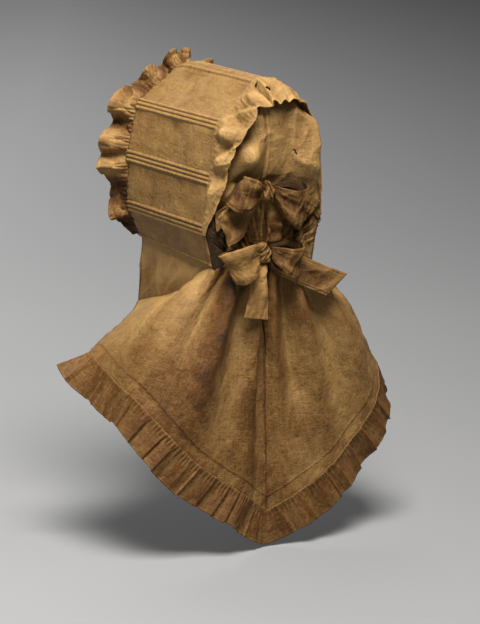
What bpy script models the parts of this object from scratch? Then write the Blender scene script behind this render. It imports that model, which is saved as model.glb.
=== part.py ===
"""A cotton bonnet with a corded brim, a soft crown, a shoulder cape and two bows at the back.

Every table is in millimetres, measured from the top of the brim at its back edge: x to the wearer's
left, y to the wearer's back, z up. The origin of the finished model is on top of the wearer's head,
SEAT_Y in front of that point and SEAT_Z below it.
"""

import math
from collections import namedtuple

import bpy
from mathutils import Vector
from mathutils.bvhtree import BVHTree

SEAT_Y = -65
SEAT_Z = -4

for startup in list(bpy.data.objects):
    bpy.data.objects.remove(startup)


def between(low, high, share):
    return low + (high - low) * share


def spline(points, at):
    """A smooth curve through a list of points, at a position counted in points."""
    last = len(points) - 1
    start = min(max(int(math.floor(at)), 0), last - 1)
    t = at - start
    b, c = points[start], points[start + 1]
    a = points[start - 1] if start > 0 else b + (b - c)
    d = points[start + 2] if start + 2 <= last else c + (c - b)
    bend = a * 2 - b * 5 + c * 4 - d
    twist = b * 3 - a - c * 3 + d
    return b + ((c - a) + (bend + twist * t) * t) * (t / 2)


def across(rows, key, column, value):
    """A column of a table, read off smoothly where its key column has this value."""
    keys = [getattr(row, key) for row in rows]
    value = min(max(value, keys[0]), keys[-1])
    start = max(i for i in range(len(keys) - 1) if keys[i] <= value)
    share = (value - keys[start]) / (keys[start + 1] - keys[start])
    return spline([getattr(row, column) for row in rows], start + share)


def steps(first, last, count):
    return [between(first, last, i / count) for i in range(count + 1)]


def fabric(name, colour, roughness):
    made = bpy.data.materials.new(name)
    made.use_nodes = True
    shader = made.node_tree.nodes["Principled BSDF"]
    shader.inputs["Base Color"].default_value = (*colour, 1)
    shader.inputs["Roughness"].default_value = roughness
    return made


BROWN_COTTON = fabric("brown_cotton", (0.176, 0.096, 0.039), 0.85)


def place(name, mesh):
    made = bpy.data.objects.new(name, mesh)
    made.data.materials.append(BROWN_COTTON)
    home = bpy.data.collections.new(name)
    bpy.context.scene.collection.children.link(home)
    home.objects.link(made)
    return made


def cloth(name, rows, thickness):
    """A closed sheet of cloth from a grid of points at its middle."""
    wide = len(rows[0])
    points = []
    for row in rows:
        points += [((p.x) / 1000, (p.y - SEAT_Y) / 1000, (p.z - SEAT_Z) / 1000) for p in row]
    faces = []
    for r in range(len(rows) - 1):
        for c in range(wide - 1):
            first = r * wide + c
            faces.append((first, first + 1, first + wide + 1, first + wide))
    mesh = bpy.data.meshes.new(name)
    mesh.from_pydata(points, [], faces)
    made = place(name, mesh)
    wall = made.modifiers.new("wall", "SOLIDIFY")
    wall.thickness = thickness / 1000
    wall.offset = 0
    return made


# The brim: a stiff hood, flat panels between cords that run from front to back.

BRIM_FRONT = -192
BRIM_WALL = 2.4
CLOTH = 1.6
SEAM = 0.6  # the gap left at each seam

Edge = namedtuple("Edge", "arc front_x front_z back_x back_z far_x")
BRIM_SECTION = (  # half of the brim, seen along it, from its top down; far_x is back_x on the right
    Edge(0, 0, 3, 0, 3, 0),
    Edge(23, 18.5, -17, 16, -16, 16),
    Edge(92, 73, -59, 66.5, -60, 70),
    Edge(164, 88.5, -128, 77.5, -132, 84),
    Edge(231, 88, -196, 88, -198, 84),
    Edge(281, 69, -240, 74, -248, 74),
)
ROUNDING = 9  # how far each bend of the section is rounded, to each side
TOP_ROUNDING = 11  # and how much further at the top
FRONT_DROOP = 8
DROOP_LENGTH = 40

Cords = namedtuple("Cords", "arc count pitch height")
CORD_GROUPS = (
    Cords(11, 2, 11, 1.1),
    Cords(92, 3, 5.6, 1.7),
    Cords(164, 3, 5.6, 1.7),
    Cords(231, 3, 5.6, 1.7),
    Cords(278.2, 1, 5.6, 1.6),
)
CORD_HALF = 2.8


def cord_centres():
    """Each cord of one half: where it lies round the section, and how far it stands out."""
    found = []
    for group in CORD_GROUPS:
        for i in range(group.count):
            found.append((group.arc + (i - (group.count - 1) / 2) * group.pitch, group.height))
    return found


CORD_CENTRES = cord_centres()


def sharp_section(arc, share):
    """The section before its bends are rounded, at a share of the way from front to back."""
    side = math.copysign(1, arc)
    arc = min(abs(arc), BRIM_SECTION[-1].arc)
    start = max(i for i in range(len(BRIM_SECTION) - 1) if BRIM_SECTION[i].arc <= arc)
    low, high = BRIM_SECTION[start], BRIM_SECTION[start + 1]
    t = (arc - low.arc) / (high.arc - low.arc)
    back = "back_x" if side > 0 else "far_x"
    back_x = between(getattr(low, back), getattr(high, back), t)
    x = between(between(low.front_x, high.front_x, t), back_x, share)
    z = between(between(low.front_z, high.front_z, t), between(low.back_z, high.back_z, t), share)
    return Vector((side * x, 0, z))


def section(arc, y):
    """A point of the brim's middle surface, without its cords."""
    share = (y - BRIM_FRONT) / -BRIM_FRONT
    reach = min(ROUNDING + TOP_ROUNDING * math.exp(-((arc / 26) ** 2)), BRIM_SECTION[-1].arc - abs(arc))
    total = Vector((0, 0, 0))
    for shift in (-1, -0.5, 0, 0.5, 1):
        total += sharp_section(arc + shift * reach, share)
    point = total / 5
    near_front = max(0, 1 - (y - BRIM_FRONT) / DROOP_LENGTH)
    point.z -= FRONT_DROOP * near_front**2 * math.exp(-((arc / 45) ** 2))
    point.y = y
    return point


def section_out(arc, y):
    """The direction out of the brim's surface."""
    way = section(arc + 2, y) - section(arc - 2, y)
    return Vector((-way.z, 0, way.x)).normalized()


def cord_height(arc):
    high = 0
    for centre, height in CORD_CENTRES:
        away = abs(abs(arc) - centre) / CORD_HALF
        if away < 1:
            high = max(high, height * (0.5 + 0.5 * math.cos(math.pi * away)))
    return high


half_stations = {0, 46, 69, 128, 197, 254, BRIM_SECTION[-1].arc}
for centre, _ in CORD_CENTRES:
    half_stations |= {round(centre - CORD_HALF, 2), round(centre, 2), round(centre + CORD_HALF, 2)}
half_stations = sorted(s for s in half_stations if s <= BRIM_SECTION[-1].arc)
stations = [-s for s in reversed(half_stations[1:])] + half_stations

brim_rows = []
for y in (BRIM_FRONT, -178, -152, -100, -50, 0):
    brim_rows.append([section(a, y) + section_out(a, y) * cord_height(a) for a in stations])
cloth("brim", brim_rows, BRIM_WALL)


# The front ruffle: a frill sewn to the front edge, in uneven lobes that stand out and forward.

Lobe = namedtuple("Lobe", "arc out forward")
FRONT_LOBES = (  # how far the free edge stands out and forward, for one half
    Lobe(0, 16, 16),
    Lobe(7, 22, 12),
    Lobe(14, 20, 12),
    Lobe(21, 8, 22),
    Lobe(29, 10, 24),
    Lobe(38, 20, 16),
    Lobe(46, 24, 13),
    Lobe(54, 22, 15),
    Lobe(62, 12, 26),
    Lobe(71, 11, 28),
    Lobe(80, 16, 24),
    Lobe(90, 26, 18),
    Lobe(99, 35, 13),
    Lobe(107, 36, 14),
    Lobe(115, 24, 26),
    Lobe(122, 12, 32),
    Lobe(130, 18, 28),
    Lobe(139, 32, 20),
    Lobe(148, 39, 15),
    Lobe(157, 37, 18),
    Lobe(165, 25, 28),
    Lobe(172, 33, 22),
    Lobe(181, 39, 17),
    Lobe(190, 29, 26),
    Lobe(198, 14, 34),
    Lobe(208, 8, 35),
    Lobe(219, 8, 35),
    Lobe(228, 12, 31),
    Lobe(236, 23, 20),
    Lobe(243, 25, 16),
    Lobe(251, 13, 27),
    Lobe(263, 6, 29),
    Lobe(275, 3, 24),
    Lobe(281, 2, 18),
)
RUFFLE_ROWS = 2
RUFFLE_HALF_COLUMNS = 60


def front_ruffle_point(arc, share):
    """A point of the frill, from its seam at share 0 to its free edge at share 1."""
    out = across(FRONT_LOBES, "arc", "out", abs(arc))
    forward = across(FRONT_LOBES, "arc", "forward", abs(arc))
    start = section(arc, BRIM_FRONT) + Vector((0, -(SEAM + BRIM_WALL / 4), 0))
    puff = 5 * math.sin(math.pi * share)
    away = section_out(arc, BRIM_FRONT)
    return start + away * (out * share**1.15 - puff * 0.4) + Vector((0, -forward * share - puff, 0))


ruffle_arcs = steps(-281, 281, 2 * RUFFLE_HALF_COLUMNS)
cloth(
    "front_ruffle",
    [[front_ruffle_point(a, s) for a in ruffle_arcs] for s in steps(0, 1, RUFFLE_ROWS)],
    CLOTH,
)


# The rear flounce: the brim's free back edge, dented, over the top of the crown.

Flounce = namedtuple("Flounce", "arc x y z")
FLOUNCE_EDGE = (  # the free edge, from the wearer's right round to the left
    Flounce(-238, -87, 4.5, -205),
    Flounce(-200, -88.2, 6, -168),
    Flounce(-165, -86.8, 7, -134),
    Flounce(-135, -80.8, 8, -104),
    Flounce(-100, -73.6, 10, -69),
    Flounce(-70, -56, 20, -47),
    Flounce(-40, -35, 43, -33),
    Flounce(0, -3, 48, -30),
    Flounce(32, 25, 46, -37),
    Flounce(75, 46, 45, -58),
    Flounce(105, 59, 40, -82),
    Flounce(135, 67, 36, -108),
    Flounce(165, 73, 30, -136),
    Flounce(200, 81, 20, -168),
    Flounce(238, 88, 4.5, -204),
)
Dent = namedtuple("Dent", "arc share wide push")
FLOUNCE_DENTS = (  # where the edge is pushed in or out, and how far
    Dent(22, 0.6, 13, -5),
    Dent(48, 0.75, 12, 5),
    Dent(76, 0.55, 13, -5),
    Dent(98, 0.5, 10, 5),
    Dent(116, 0.45, 10, -4),
    Dent(138, 0.7, 11, 4),
    Dent(160, 0.6, 11, -3),
    Dent(190, 0.5, 14, 3),
    Dent(-20, 0.7, 12, 3),
    Dent(-52, 0.6, 14, -3),
    Dent(-90, 0.5, 14, 2),
)
FLOUNCE_END = 238


def flounce_point(arc, share):
    out = section_out(arc, 0)
    start = section(arc, 1.5 * SEAM) + out * 1.0
    edge = Vector([across(FLOUNCE_EDGE, "arc", axis, arc) for axis in "xyz"])
    rise = between(9, 5, min(1, abs(arc) / 110)) * math.sin(math.pi * share)
    rise *= min(1, (edge - start).length / 45)
    point = start.lerp(edge, share) + out * rise
    for dent in FLOUNCE_DENTS:
        near = math.exp(-(((arc - dent.arc) / dent.wide) ** 2) - ((share - dent.share) / 0.35) ** 2)
        point += out * dent.push * near * min(1, max(0, share - 0.15) * 3)
    return point


flounce_arcs = steps(-FLOUNCE_END, FLOUNCE_END, 56)
cloth("rear_flounce", [[flounce_point(a, s) for a in flounce_arcs] for s in steps(0, 1, 3)], CLOTH)


# The crown: the soft back of the hood, drawn in by the two ties.

CROWN_TOP = 6
CROWN_END = 277.8
Depth = namedtuple("Depth", "z back")
CROWN_DEPTH = (  # how far the crown stands back behind the brim, from its lower end up
    Depth(-248, 20),
    Depth(-232, 20),
    Depth(-200, 22),
    Depth(-172, 21),
    Depth(-148, 18),
    Depth(-124, 25),
    Depth(-95, 30),
    Depth(-62, 34),
    Depth(-42, 35),
    Depth(-28, 27),
    Depth(-14, 13),
    Depth(0, 3),
)
Puff = namedtuple("Puff", "x z wide high push")
CROWN_PUFFS = (
    Puff(42, -108, 17, 24, 9),
    Puff(47, -64, 15, 26, -12),
    Puff(-62, -112, 26, 60, 19),
)
FAR_SQUARENESS = 0.42  # the smaller, the squarer: the wearer's right
NEAR_SQUARENESS = 0.78
CROWN_INSET = 4  # how far it is drawn in just behind its seam
CROWN_MIDDLE_Z = -130
CROWN_DIP = 14  # how far its lower end is drawn down over the corners of the cape
GATHER_PITCH = 17
GATHER_DEPTH = 3.2
TIE_MIDDLE_Z = -148
TIE_END_Z = -186
TIE_END_X = 79


def tie_z(x):
    """The height of the middle of the upper tie where it crosses the crown."""
    return between(TIE_MIDDLE_Z, TIE_END_Z, min(1, abs(x) / TIE_END_X) ** 1.4)


def crown_point(arc, turn):
    """A point of the crown, at a height given round the rim and a turn from -1, right, to 1, left."""
    side = 1 if turn > 0 else -1
    rim = section(side * arc, 0) - section_out(side * arc, 0) * 1.1
    angle = turn * math.pi / 2
    square = NEAR_SQUARENESS if turn > 0 else FAR_SQUARENESS
    x = rim.x * abs(math.sin(angle)) ** square
    back = across(CROWN_DEPTH, "z", "back", rim.z) * max(0, math.cos(angle)) ** square
    inside = math.cos(angle) ** 2
    for puff in CROWN_PUFFS:
        near = ((x - puff.x) / puff.wide) ** 2 + ((rim.z - puff.z) / puff.high) ** 2
        back += puff.push * math.exp(-near) * min(1, 2 * inside)
    back -= 3 * math.exp(-(((rim.z - tie_z(x)) / 20) ** 2)) * min(1, 3 * inside)
    gathered = min(1, max(0, (-172 - rim.z) / 40)) * min(1, 2 * inside)
    back += GATHER_DEPTH * gathered * math.sin(2 * math.pi * x / GATHER_PITCH)
    corner = abs(x / rim.x) ** 5 * (1 - abs(x / rim.x) ** 24)
    dip = CROWN_DIP * corner * max(0, (-225 - rim.z) / 20)
    point = Vector((x, SEAM + back, rim.z - dip))
    inward = Vector((-x, 0, CROWN_MIDDLE_Z - rim.z)).normalized()
    return point + inward * CROWN_INSET * min(1, back / 8) * (1 if turn > 0 else 0.8)


crown_turns = steps(-1, 1, 26)
crown_arcs = steps(CROWN_TOP, CROWN_END, 13)
crown_rows = [[crown_point(a, t) for t in crown_turns] for a in crown_arcs]
cloth("crown", crown_rows, CLOTH)

crown_faces = []
for r in range(len(crown_arcs) - 1):
    for c in range(len(crown_turns) - 1):
        corner = r * len(crown_turns) + c
        crown_faces.append((corner, corner + 1, corner + len(crown_turns) + 1, corner + len(crown_turns)))
CROWN_SURFACE = BVHTree.FromPolygons([p for row in crown_rows for p in row], crown_faces)


def on_crown(x, z, spread):
    """How far back the crown reaches near this x and height."""
    found = []
    for dx, dz in ((0, 0), (spread, 0), (-spread, 0), (0, spread), (0, -spread)):
        hit = CROWN_SURFACE.ray_cast(Vector((x + dx, 100, z + dz)), Vector((0, -1, 0)))[0]
        if hit is not None:
            found.append(hit.y)
    return max(found)


# The neck pieces: the cloth that hangs inside each lower edge of the brim, down to the cape.

Neck = namedtuple("Neck", "y x z")
NECK_LINE = (  # the lower edge of the wearer's left neck piece, from front to back
    Neck(-193, 72, -333.4),
    Neck(-150, 73, -320.4),
    Neck(-95, 73.5, -303.4),
    Neck(-60, 74, -289.4),
    Neck(-25, 73.5, -268.4),
    Neck(-10, 72.3, -256),
    Neck(-1, 71.5, -252.4),
)
NECK_TOP_ARC = 268
NECK_INSIDE = (BRIM_WALL + CLOTH) / 2 + 1.5 * SEAM


def neck_point(y, share, side):
    stops = []
    for arc, lower in ((NECK_TOP_ARC, 0), (BRIM_SECTION[-1].arc, 3)):
        stop = section(side * arc, y) - section_out(side * (arc - 3), y) * NECK_INSIDE
        stops.append(stop - Vector((0, 0, lower)))
    foot = Vector((side * across(NECK_LINE, "y", "x", y), y, across(NECK_LINE, "y", "z", y)))
    stops += [stops[1].lerp(foot, 0.5), foot]
    point = spline(stops, 3 * share)
    point.x += side * 1.5 * math.sin(math.pi * max(0, share - 0.4) / 0.6) * math.sin(y / 21)
    return point


for name, side in (("neck_piece_left", 1), ("neck_piece_right", -1)):
    grid = [[neck_point(y, s, side) for y in steps(-193, -1.2, 12)] for s in (0, 0.17, 0.33, 0.55, 0.78, 1)]
    cloth(name, grid, CLOTH)


# The cape: from the tie at the back and the neck pieces at the sides, out to two straight hems.

Fall = namedtuple(
    "Fall", "neck_x neck_y neck_z fold_x fold_y fold_z belly_x belly_y belly_z hem_x hem_y hem_z"
)
CAPE_FALLS = (  # one half, from the centre back round to the front edge
    Fall(0, 20, -246, 0, 22, -264, 4, 18, -420, 8, 24, -582),
    Fall(12, 20, -246, 15, 24, -266, 26, 27, -412, 40, 37, -558),
    Fall(24, 19, -246, 32, 27, -268, 54, 35, -398, 74, 41, -535),
    Fall(38, 18, -247, 50, 25, -268, 88, 37, -380, 122, 34, -499),
    Fall(53, 15, -248, 67, 17, -265, 116, 33, -355, 163, 27, -454),
    Fall(69, 5.2, -252.6, 84, 4, -264, 138, 12, -328, 189, -6, -414),
    Fall(76, -26, -265.5, 99, -24, -279, 148, -26, -318, 193, -44, -400),
    Fall(75.4, -90, -298, 121, -52, -297, 160, -62, -330, 193, -84, -386),
    Fall(74.3, -192, -329, 112, -168, -345, 152, -146, -358, 190, -124, -373),
)
Fold = namedtuple("Fold", "column spread high top_share")
CAPE_FOLDS = (  # ridges and valleys that run from the tie towards the hem
    Fold(-5.0, 0.5, 5, 0.35),
    Fold(-4.0, 0.5, -5, 0.30),
    Fold(-3.0, 0.5, 6, 0.30),
    Fold(-2.1, 0.4, -6, 0.25),
    Fold(-1.2, 0.4, 6, 0.25),
    Fold(-0.4, 0.4, -5, 0.25),
    Fold(0.6, 0.4, 4, 0.25),
    Fold(1.4, 0.4, -7, 0.25),
    Fold(2.4, 0.5, 7, 0.28),
    Fold(3.5, 0.5, -8, 0.30),
    Fold(4.6, 0.5, 7, 0.32),
    Fold(5.8, 0.5, -3, 0.40),
)


def cape_plain(column, share):
    """The cape without its folds: column 0 is the centre back and 8 the wearer's left front edge."""
    side = math.copysign(1, column)
    stops = []
    for stop in ("neck", "fold", "belly", "hem"):
        stops.append(
            Vector(
                [
                    spline([getattr(fall, f"{stop}_{axis}") for fall in CAPE_FALLS], abs(column))
                    for axis in "xyz"
                ]
            )
        )
    point = spline(stops, 3 * share)
    centre = CAPE_FALLS[0].hem_x * share * max(0, 1 - abs(column) / 2)
    if side < 0:
        point.x = -point.x + 2 * centre * max(0, 1 - abs(column) / 2)
    return point


def cape_out(column, share):
    """The direction out of the cape's surface."""
    step = 0.02
    down = cape_plain(column, min(1, share + step)) - cape_plain(column, max(0, share - step))
    low, high = max(-8, column - 0.1), min(8, column + 0.1)
    round_it = cape_plain(high, share) - cape_plain(low, share)
    return down.cross(round_it).normalized()


def cape_point(column, share):
    push = 0
    for fold in CAPE_FOLDS:
        strong = min(1, max(0, share - 0.04) / fold.top_share) * between(1, 0.15, max(0, share - 0.35) / 0.65)
        push += fold.high * strong * math.exp(-(((column - fold.column) / fold.spread) ** 2))
    return cape_plain(column, share) + cape_out(column, share) * push


CAPE_ROWS = (0, 0.1, 0.2, 0.3, 0.4, 0.52, 0.65, 0.82, 1)
cape_columns = steps(-8, 8, 48)
cloth("cape", [[cape_point(c, s) for c in cape_columns] for s in CAPE_ROWS], CLOTH)


# The cape ruffle: a frill sewn along both hems, in narrow waves.

CAPE_FRILL = 44
CAPE_WAVE = 27
CAPE_WAVE_DEPTH = 5.5
CAPE_FRILL_HALF_COLUMNS = 72


def hem_lengths():
    """How far along the hem each of many columns is."""
    columns = steps(-8, 8, 320)
    lengths = [0]
    for i in range(320):
        step = cape_point(columns[i + 1], 1) - cape_point(columns[i], 1)
        lengths.append(lengths[-1] + step.length)
    return columns, lengths


HEM_COLUMNS, HEM_LENGTHS = hem_lengths()


def hem_column(length):
    """The cape's column at a length along the hem."""
    start = max(i for i in range(len(HEM_LENGTHS) - 1) if HEM_LENGTHS[i] <= length)
    share = (length - HEM_LENGTHS[start]) / (HEM_LENGTHS[start + 1] - HEM_LENGTHS[start])
    return between(HEM_COLUMNS[start], HEM_COLUMNS[start + 1], min(1, share))


def hem_frame(length, reach):
    """Where the hem is, and the directions across the frill and out of it."""
    low = cape_point(hem_column(max(0, length - reach)), 1)
    high = cape_point(hem_column(min(HEM_LENGTHS[-1], length + reach)), 1)
    column = hem_column(length)
    along = (high - low).normalized()
    out = cape_out(column, 1)
    out = (out - along * out.dot(along)).normalized()
    down = along.cross(out).normalized()
    if down.z > 0:
        down = -down
    return cape_point(column, 1), down, out


def cape_ruffle_point(length, share):
    start, seam_down, _ = hem_frame(length, 2)
    _, down, out = hem_frame(length, 24)
    phase = 2 * math.pi * length / CAPE_WAVE + 0.9 * math.sin(length / 31) + 0.6 * math.sin(length / 13)
    wave = CAPE_WAVE_DEPTH * math.sin(phase) * share**0.8
    longer = CAPE_FRILL + 2.5 * math.sin(phase * 0.5 + 1)
    return start + seam_down * 1.3 * SEAM + down * longer * share + out * (wave + 2.0 * share)


tip_length = HEM_LENGTHS[len(HEM_LENGTHS) // 2]
ruffle_lengths = steps(0, tip_length, CAPE_FRILL_HALF_COLUMNS)
ruffle_lengths += steps(tip_length, HEM_LENGTHS[-1], CAPE_FRILL_HALF_COLUMNS)[1:]
cloth(
    "cape_ruffle",
    [[cape_ruffle_point(l, s) for l in ruffle_lengths] for s in steps(0, 1, 2)],
    CLOTH,
)


# The ties: a tape round the crown, and two bows of the same ribbon, each round a knot.

RIBBON = 1.4
TAPE_OFF = (CLOTH + RIBBON) / 2 + 1.6 * SEAM

tape_rows = []
for share in (-0.5, 0.5):
    row = []
    for x in steps(-TIE_END_X, TIE_END_X, 26):
        z = tie_z(x) + share * between(13, 26, (abs(x) / TIE_END_X) ** 2)
        row.append(Vector((x, on_crown(x, z, 5) + TAPE_OFF, z)))
    tape_rows.append(row)
cloth("upper_tie", tape_rows, RIBBON)


Knot = namedtuple("Knot", "name x y z half_x half_y half_z")
KNOTS = (
    Knot("upper_bow_knot", 10, 30.4, -148, 8.5, 8.5, 13),
    Knot("lower_bow_knot", 18, 32.3, -229, 9, 10.6, 13),
)


def squared(value, power):
    return math.copysign(abs(value) ** power, value)


def knot(row):
    """A knot, as a rounded block with a groove round it from top to bottom."""
    points, faces = [], []
    rings, around = 7, 14
    for r in range(rings):
        tilt = between(-math.pi / 2, math.pi / 2, (r + 0.5) / rings)
        for a in range(around):
            turn = 2 * math.pi * a / around
            flat = squared(math.cos(tilt), 0.5)
            groove = 1 - 0.1 * math.cos(3 * turn + 2 * tilt)
            x = row.x + row.half_x * flat * squared(math.cos(turn), 0.6) * min(1, groove)
            y = row.y + row.half_y * flat * squared(math.sin(turn), 0.6) * min(1, groove)
            z = row.z + row.half_z * squared(math.sin(tilt), 0.6)
            points.append((x / 1000, (y - SEAT_Y) / 1000, (z - SEAT_Z) / 1000))
    for r in range(rings - 1):
        for a in range(around):
            b = (a + 1) % around
            low, high = r * around, (r + 1) * around
            faces.append((low + a, low + b, high + b, high + a))
    faces.append(tuple(reversed(range(around))))
    faces.append(tuple(range((rings - 1) * around, rings * around)))
    mesh = bpy.data.meshes.new(row.name)
    mesh.from_pydata(points, [], faces)
    place(row.name, mesh)


for row in KNOTS:
    knot(row)


Ply = namedtuple("Ply", "ax ay az bx by bz")
RIBBONS = {  # each ribbon, as rows across it: its upper or outer edge a, and its other edge b
    "upper_bow_loop_right": (
        Ply(0.8, 35, -142, 0.8, 35, -157),
        Ply(-8, 48, -145, -4, 48, -175),
        Ply(-23, 57, -148, -13, 55, -190),
        Ply(-36, 55, -146, -22, 53, -199),
        Ply(-42, 47, -142, -28, 46, -198),
        Ply(-36, 37, -138, -24, 38, -188),
        Ply(-20, 32, -138, -12, 33, -170),
        Ply(0.8, 31, -141, 0.8, 31, -156),
    ),
    "upper_bow_loop_left": (
        Ply(19.2, 35, -141, 19.2, 35, -156),
        Ply(29, 46, -134, 38, 46, -164),
        Ply(37, 51, -129, 54, 52, -169),
        Ply(46, 48, -125, 70, 50, -167),
        Ply(51, 40, -124, 79, 41, -157),
        Ply(47, 34, -127, 72, 35, -154),
        Ply(36, 31, -133, 50, 31.5, -157),
        Ply(19.3, 31, -142, 19.3, 31, -155),
    ),
    "upper_bow_tail_left": (
        Ply(18.7, 27, -145, 18.7, 27, -157),
        Ply(36, 26.5, -148, 32, 27.5, -180),
        Ply(60, 28, -158, 46, 32, -203),
        Ply(76, 34, -166, 60, 37, -210),
        Ply(90, 38, -174, 74, 40, -214),
    ),
    "upper_bow_tail_right": (
        Ply(0.8, 27, -145, 0.8, 27, -157),
        Ply(-20, 28.5, -150, -10, 30, -178),
        Ply(-46, 27, -163, -24, 32, -195),
        Ply(-70, 24, -178, -37, 31, -205),
    ),
    "lower_bow_loop_left": (
        Ply(27.1, 39, -221, 27.1, 39, -238),
        Ply(40, 49, -213, 36, 51, -247),
        Ply(58, 57, -213, 47, 59, -257),
        Ply(78, 53, -218, 59, 56, -263),
        Ply(90, 43, -223, 67, 46, -262),
        Ply(80, 35, -222, 61, 38, -255),
        Ply(56, 32, -220, 46, 34, -246),
        Ply(27.1, 34, -222, 27.1, 34, -236),
    ),
    "lower_bow_loop_right": (
        Ply(8.3, 40, -221, 8.3, 40, -238),
        Ply(-4, 50, -222, 2, 51, -248),
        Ply(-16, 56, -224, -8, 56, -258),
        Ply(-28, 54, -224, -18, 53, -264),
        Ply(-36, 46, -222, -26, 45, -263),
        Ply(-30, 38, -217, -22, 39, -254),
        Ply(-12, 34, -216, -6, 35, -246),
        Ply(8.3, 34, -221, 8.3, 34, -236),
    ),
    "lower_bow_tail_right": (
        Ply(8.6, 29.5, -226, 8.6, 29.5, -239),
        Ply(-12, 29, -230, 0, 33, -257),
        Ply(-38, 32, -238, -24, 38, -271),
        Ply(-72, 40, -254, -46, 43, -282),
        Ply(-104, 46, -268, -69, 50, -293),
    ),
    "lower_bow_tail_centre": (
        Ply(24, 33, -242.9, 12, 33, -242.9),
        Ply(34, 39, -251, 15, 39, -251),
        Ply(44, 43, -263, 18.8, 43, -262),
        Ply(47, 44, -285, 18, 45, -285),
        Ply(54, 44, -309, 18.3, 45, -316),
    ),
}
RIBBON_ACROSS = 3
RIBBON_PLEAT = 1.6


def ribbon_point(plies, at, share):
    """A point of a ribbon, pleated lengthwise near each knot."""
    first = spline([Vector((ply.ax, ply.ay, ply.az)) for ply in plies], at)
    last = spline([Vector((ply.bx, ply.by, ply.bz)) for ply in plies], at)
    point = first.lerp(last, share)
    point.y += RIBBON_PLEAT * math.sin(3 * math.pi * share) * min(1, at) * min(1, len(plies) - 1 - at)
    return point


for name, plies in RIBBONS.items():
    rows = []
    for at in steps(0, len(plies) - 1, 2 * (len(plies) - 1)):
        row = [ribbon_point(plies, at, s) for s in steps(0, 1, RIBBON_ACROSS)]
        if name == "upper_bow_tail_right" and at > 0:
            for point in row:
                point.y = max(point.y, on_crown(point.x, point.z, 8) + 2.2 * TAPE_OFF)
        rows.append(row)
    cloth(name, rows, RIBBON)
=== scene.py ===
import math
from collections import namedtuple

import bpy
import numpy as np
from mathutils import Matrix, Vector
from mathutils.bvhtree import BVHTree


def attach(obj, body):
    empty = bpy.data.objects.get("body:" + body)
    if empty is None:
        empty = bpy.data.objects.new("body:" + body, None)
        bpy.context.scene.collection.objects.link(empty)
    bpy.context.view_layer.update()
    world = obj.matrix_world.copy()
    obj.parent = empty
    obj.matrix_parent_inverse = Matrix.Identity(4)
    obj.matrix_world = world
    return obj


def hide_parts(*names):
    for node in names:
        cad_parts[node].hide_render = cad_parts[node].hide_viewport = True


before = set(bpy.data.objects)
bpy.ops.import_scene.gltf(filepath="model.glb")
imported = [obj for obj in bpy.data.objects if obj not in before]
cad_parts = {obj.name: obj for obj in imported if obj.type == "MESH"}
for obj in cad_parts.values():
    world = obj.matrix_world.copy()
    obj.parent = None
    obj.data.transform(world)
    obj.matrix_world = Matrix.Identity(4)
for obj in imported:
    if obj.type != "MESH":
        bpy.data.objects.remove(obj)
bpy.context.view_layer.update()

# A brown cotton sunbonnet, seen from behind. Tables are in millimetres from the top of the brim at its
# back edge: x to the wearer's left, y to the wearer's back, z up. SEAT moves them to the head's top.


# The brim is a stiff hood of doubled brown cotton. Groups of cords are stitched between its two layers,
# with flat panels between them, and a piping cord closes each lower edge.

SEAT = np.array((0, 65, 4))
BRIM_FRONT = -192
BRIM_WALL = 2.4
CLOTH = 1.3
SEAM = 0.6
Edge = namedtuple("Edge", "arc front_x front_z back_x back_z far_x")
BRIM_EDGES = (
    Edge(0, 0, 3, 0, 3, 0),
    Edge(23, 18.5, -17, 16, -16, 16),
    Edge(92, 73, -59, 66.5, -60, 70),
    Edge(164, 88.5, -128, 77.5, -132, 84),
    Edge(231, 88, -196, 88, -198, 84),
    Edge(281, 69, -240, 74, -248, 74),
)
BRIM_HALF = BRIM_EDGES[-1].arc
BEND_ROUNDING = 9
TOP_ROUNDING = 11
FRONT_DROOP = 8
DROOP_LENGTH = 40
Cords = namedtuple("Cords", "arc count pitch height")
CORD_GROUPS = (
    Cords(11, 2, 11, 1.6),
    Cords(92, 3, 5.6, 1.9),
    Cords(164, 3, 5.6, 1.9),
    Cords(231, 3, 5.6, 1.9),
    Cords(278.2, 1, 5.6, 1.6),
)
CORD_HALF = 2.8


def between(a, b, c, d, t):
    """A smooth way from b to c, with a before it and d after it, at t from 0 to 1."""
    bend = a * 2 - b * 5 + c * 4 - d
    twist = b * 3 - a - c * 3 + d
    return b + ((c - a) + (bend + twist * t) * t) * (t / 2)


def curve(points, at):
    """A smooth curve through rows of numbers, read at positions counted in rows."""
    points = np.asarray(points, float)
    padded = np.vstack((2 * points[0] - points[1], points, 2 * points[-1] - points[-2]))
    at = np.clip(at, 0, len(points) - 1)
    start = np.minimum(at.astype(int), len(points) - 2)
    return between(*(padded[start + i] for i in range(4)), (at - start)[..., None])


def read(table, key, names, at):
    """Columns of a table, read off smoothly where its key column has these values."""
    keys = [getattr(row, key) for row in table]
    values = [[getattr(row, name) for name in names.split()] for row in table]
    return curve(values, np.interp(at, keys, range(len(keys))))


def swell(u, v, seed):
    """Soft hills and hollows from about -1 to 1 over a flat cloth."""
    turns = np.random.default_rng(seed).uniform(0, 2 * math.pi, (64, 64))
    left, low = np.floor(u).astype(int), np.floor(v).astype(int)
    total = 0
    for du in (0, 1):
        for dv in (0, 1):
            x, y = u - left - du, v - low - dv
            turn = turns[(left + du) % 64, (low + dv) % 64]
            near = (1 - np.abs(x)) * (1 - np.abs(y))
            near = near * near * (3 - 2 * near)
            total = total + near * (np.cos(turn) * x + np.sin(turn) * y)
    return total * 2.6


def crease(u, v, seed, sharpness=0.75):
    """The same hills pinched into sharp crests, as in cloth that has been crushed."""
    return 1 - 2 * np.abs(swell(u, v, seed)) ** sharpness


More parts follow.
